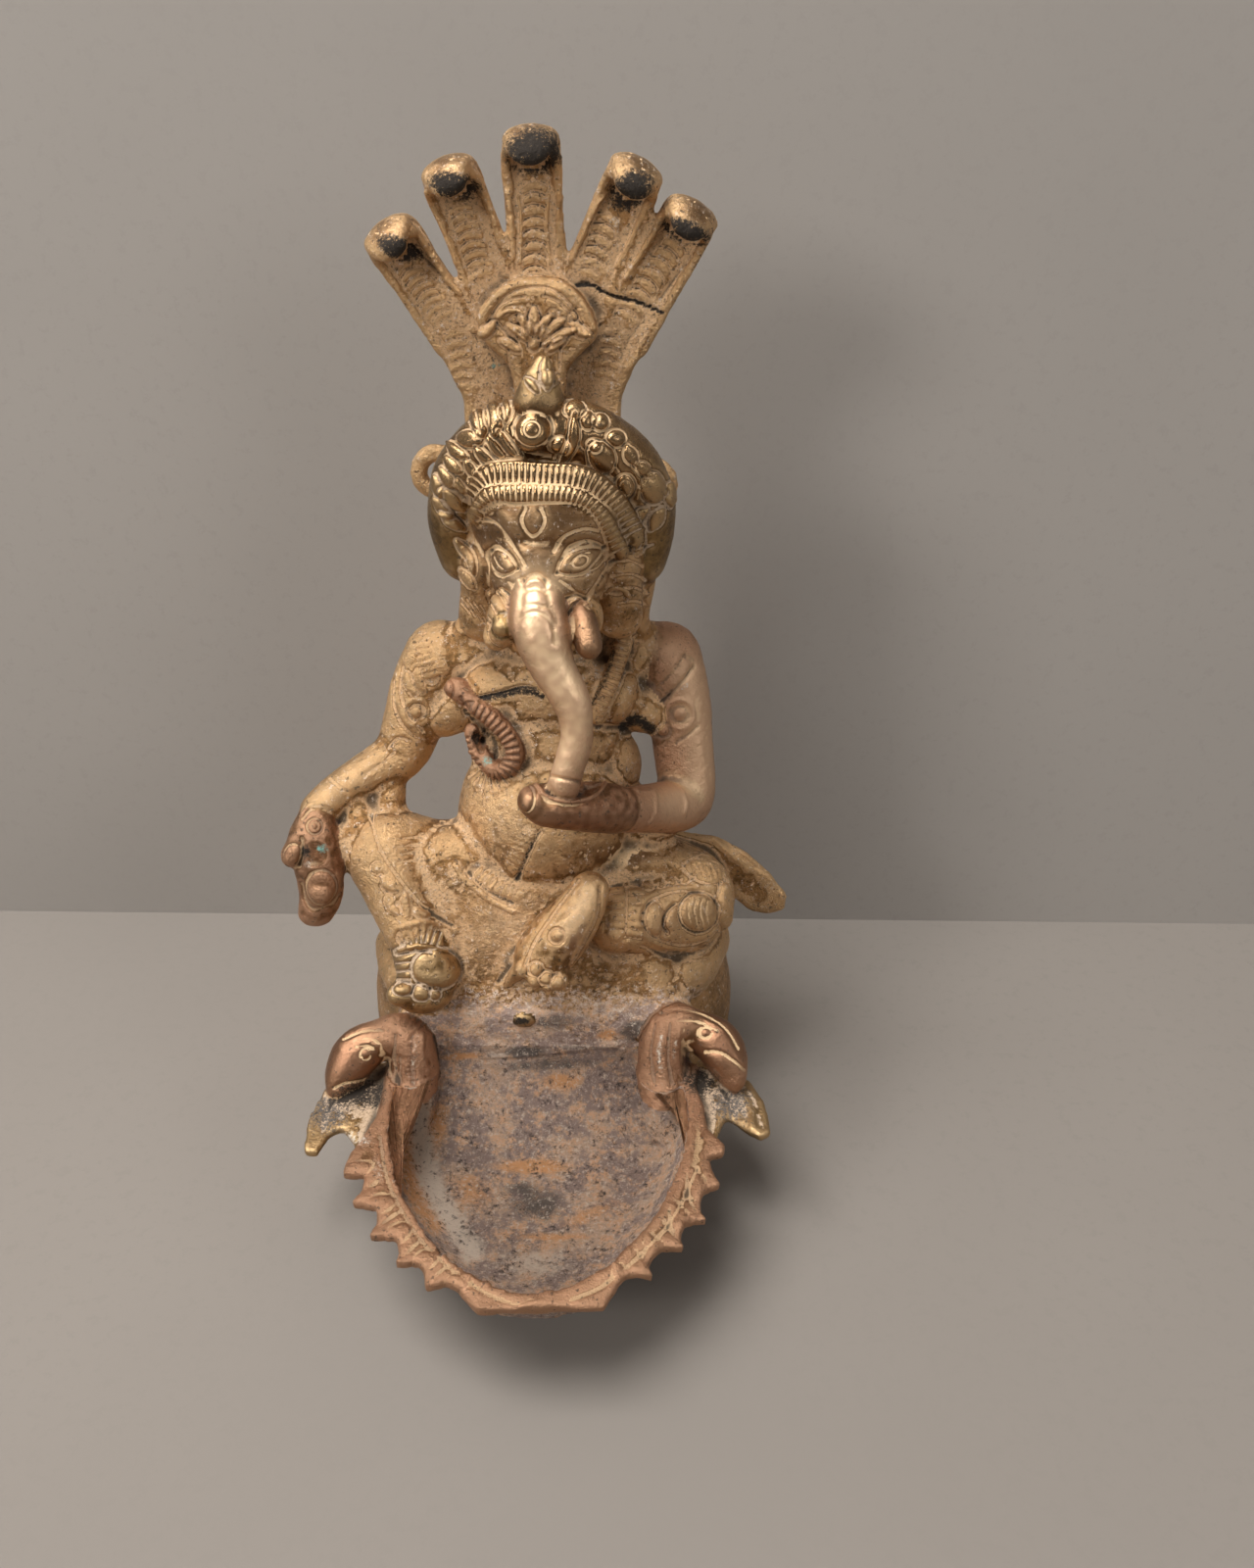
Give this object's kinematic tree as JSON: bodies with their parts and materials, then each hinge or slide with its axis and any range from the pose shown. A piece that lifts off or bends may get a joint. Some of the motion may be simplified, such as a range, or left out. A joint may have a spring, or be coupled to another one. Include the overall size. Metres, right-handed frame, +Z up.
{
  "type": "ganesha oil lamp",
  "caption": "Cast brass oil lamp: a seated elephant-headed figure on a drum stand under a fan of serpent heads, with a leaf-shaped oil pan in front.",
  "frame": {"origin": "on the surface that the lamp stands on, under the middle of the whole lamp's bounding box", "axes": "+Z up; the figure faces -Y, so the oil pan reaches towards -Y; +X is to the right of someone who looks at the figure's face"},
  "size_m": [0.1068, 0.1312, 0.2023],
  "materials": {
    "brass": "aged cast brass, rubbed bright on high places, grey-brown dust in the hollows",
    "dark_brass": "dark brown patina with golden rubbed edges",
    "copper_brass": "reddish copper-brown, smooth and glossy from handling",
    "burnt_pan": "granular soot and burnt oil with grey, purple and orange patches"
  },
  "bodies": {
    "root": {"lap_rivet": "dark_brass", "stand": "brass", "cushion": "brass", "torso": "brass", "arm_left": "brass", "hand_left": "copper_brass", "arm_right": "copper_brass", "hand_right": "copper_brass", "foot_folded": "brass", "foot_pendant": "dark_brass", "leg_pendant": "brass", "leg_folded": "brass", "lap_cloth": "brass", "trunk": "copper_brass", "tusk": "copper_brass", "tusk_stub": "dark_brass", "head": "brass", "ear_left": "brass", "ear_right": "brass", "diadem_upper": "dark_brass", "diadem_lower": "dark_brass", "crown_boss": "dark_brass", "crown_jewel": "dark_brass", "crown_crest": "dark_brass", "naga_head_1": "brass", "naga_head_2": "brass", "naga_head_3": "brass", "naga_head_4": "brass", "naga_head_5": "brass", "naga_hood": "brass", "palmette": "brass", "ribbon_left": "brass", "ribbon_right": "brass", "cord_loop": "copper_brass", "necklace_strap": "brass", "sash": "brass", "side_serpent_left": "copper_brass", "side_serpent_right": "copper_brass", "lamp_pan": "burnt_pan", "fin_left": "dark_brass", "fin_right": "dark_brass", "pan_border": "copper_brass"}
  },
  "joints": []
}
